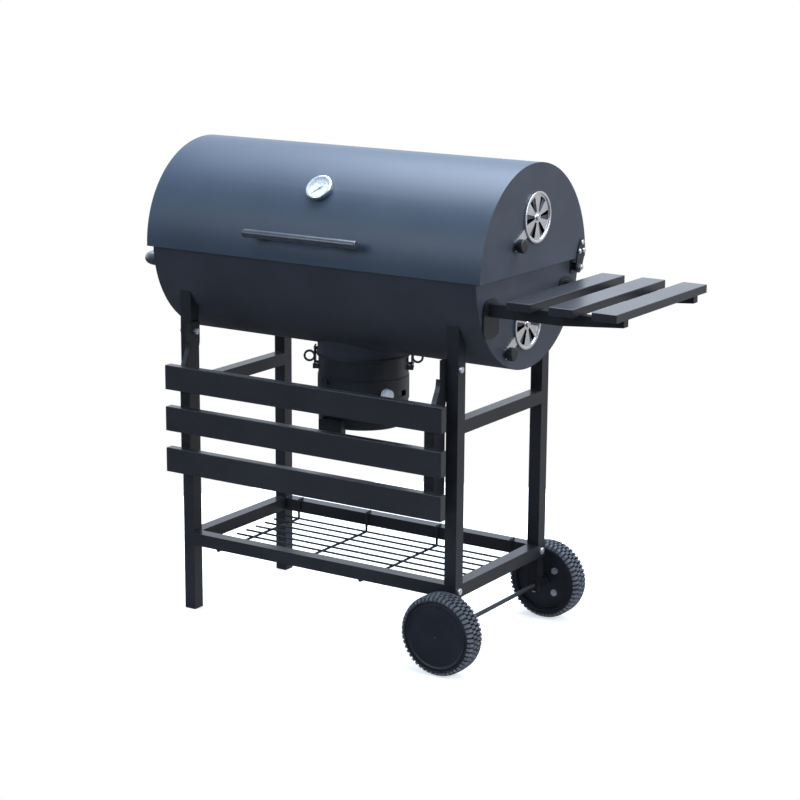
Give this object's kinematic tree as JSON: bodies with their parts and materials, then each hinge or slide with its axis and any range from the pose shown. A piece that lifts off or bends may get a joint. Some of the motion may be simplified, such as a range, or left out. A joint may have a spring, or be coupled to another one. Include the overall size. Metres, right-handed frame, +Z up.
{
  "type": "barrel charcoal grill",
  "caption": "Horizontal barrel charcoal grill on a square-tube wheeled cart, with a hinged lid, ash pot, turning vents, fold-up front shelf, side table and wire shelf.",
  "frame": {"origin": "bottom centre of the whole grill's bounding box, on the ground", "axes": "+X along the barrel from the pull handle to the side table, +Y from the front shelf to the lid hinge at the back, +Z up"},
  "size_m": [1.293, 0.536, 1.113],
  "materials": {
    "black_paint": "satin black heat-resistant paint",
    "bright_zinc": "bright zinc plating",
    "dull_steel": "plain drawn steel",
    "chrome": "bright chrome plating",
    "black_plastic": "black moulded heat-resistant plastic",
    "wheel_plastic": "black moulded plastic, slightly glossy",
    "tyre": "dark grey rubber",
    "grate_iron": "seasoned dark iron",
    "grey_knob": "grey moulded plastic",
    "dial_white": "white printed dial face",
    "needle_black": "black enamel",
    "lens_glass": "clear glass"
  },
  "bodies": {
    "base": {"bowl_shell": "black_paint", "bowl_end_left": "black_paint", "bowl_end_right": "black_paint", "cooking_grate_left": "grate_iron", "cooking_grate_right": "grate_iron", "charcoal_grate": "grate_iron", "ash_collar": "black_paint", "ash_pot": "black_paint", "ash_latch_brackets": "black_paint", "hinge_brackets": "black_paint", "leg_front_left": "black_paint", "leg_back_left": "black_paint", "leg_front_right": "black_paint", "leg_back_right": "black_paint", "foot_caps": "black_plastic", "crossbar_left": "black_paint", "crossbar_right": "black_paint", "rail_front": "black_paint", "rail_back": "black_paint", "rail_left": "black_paint", "rail_right": "black_paint", "wire_shelf": "black_paint", "axle_brackets": "black_paint", "axle": "dull_steel", "frame_bolts": "bright_zinc", "table_arm_front": "black_paint", "table_arm_back": "black_paint", "table_slat_inner": "black_paint", "table_slat_middle": "black_paint", "table_slat_outer": "black_paint", "pull_handle": "black_paint"},
    "lid": {"lid_shell": "black_paint", "lid_end_left": "black_paint", "lid_end_right": "black_paint", "lid_handle": "black_paint", "lid_hinge_leaves": "black_paint", "lid_hinge_screws": "bright_zinc", "thermometer_case": "chrome", "thermometer_dial": "dial_white", "thermometer_lens": "lens_glass"},
    "needle": {"thermometer_needle": "needle_black"},
    "lid_vent": {"lid_vent_disc": "chrome", "lid_vent_knob": "black_plastic"},
    "bowl_vent": {"bowl_vent_disc": "chrome", "bowl_vent_knob": "black_plastic"},
    "ash_damper": {"ash_damper_ring": "black_paint", "ash_damper_knob": "grey_knob"},
    "latch_left": {"ash_latch_left": "black_paint"},
    "latch_right": {"ash_latch_right": "black_paint"},
    "front_shelf": {"shelf_slat_top": "black_paint", "shelf_slat_middle": "black_paint", "shelf_slat_bottom": "black_paint", "shelf_bracket_left": "black_paint", "shelf_bracket_right": "black_paint"},
    "wheel_front": {"wheel_front_hub": "wheel_plastic", "wheel_front_tyre": "tyre", "wheel_front_bolts": "bright_zinc"},
    "wheel_back": {"wheel_back_hub": "wheel_plastic", "wheel_back_tyre": "tyre", "wheel_back_bolts": "bright_zinc"}
  },
  "joints": [
    {"name": "lid_hinge", "type": "hinge", "parent": "base", "child": "lid", "pos_m": [-0.1175, 0.2, 0.856], "axis": [-1, 0, 0], "range_deg": [0, 90]},
    {"name": "lid_vent_turn", "type": "hinge", "parent": "lid", "child": "lid_vent", "pos_m": [0.3325, 0.006, 0.993], "axis": [1, 0, 0], "range_deg": [-15, 15]},
    {"name": "bowl_vent_turn", "type": "hinge", "parent": "base", "child": "bowl_vent", "pos_m": [0.3185, -0.004, 0.756], "axis": [1, 0, 0], "range_deg": [-15, 15]},
    {"name": "needle_turn", "type": "hinge", "parent": "lid", "child": "needle", "pos_m": [-0.1175, -0.17187, 1.03684], "axis": [0, -0.7408, 0.6717], "range_deg": [-270, 0]},
    {"name": "damper_turn", "type": "hinge", "parent": "base", "child": "ash_damper", "pos_m": [-0.1175, 0, 0.562], "axis": [0, 0, 1], "range_deg": [-9, 9]},
    {"name": "latch_left_swing", "type": "hinge", "parent": "base", "child": "latch_left", "pos_m": [-0.21536, -0.0565, 0.608], "axis": [0.5, -0.866, 0], "range_deg": [0, 100]},
    {"name": "latch_right_swing", "type": "hinge", "parent": "base", "child": "latch_right", "pos_m": [-0.01964, 0.0565, 0.608], "axis": [-0.5, 0.866, 0], "range_deg": [0, 100]},
    {"name": "front_shelf_fold", "type": "hinge", "parent": "base", "child": "front_shelf", "pos_m": [-0.1175, -0.19, 0.68], "axis": [-1, 0, 0], "range_deg": [0, 90]},
    {"name": "wheel_front_roll", "type": "hinge", "parent": "base", "child": "wheel_front", "pos_m": [0.2515, -0.24, 0.092], "axis": [0, 1, 0], "continuous": true},
    {"name": "wheel_back_roll", "type": "hinge", "parent": "base", "child": "wheel_back", "pos_m": [0.2515, 0.24, 0.092], "axis": [0, 1, 0], "continuous": true}
  ]
}
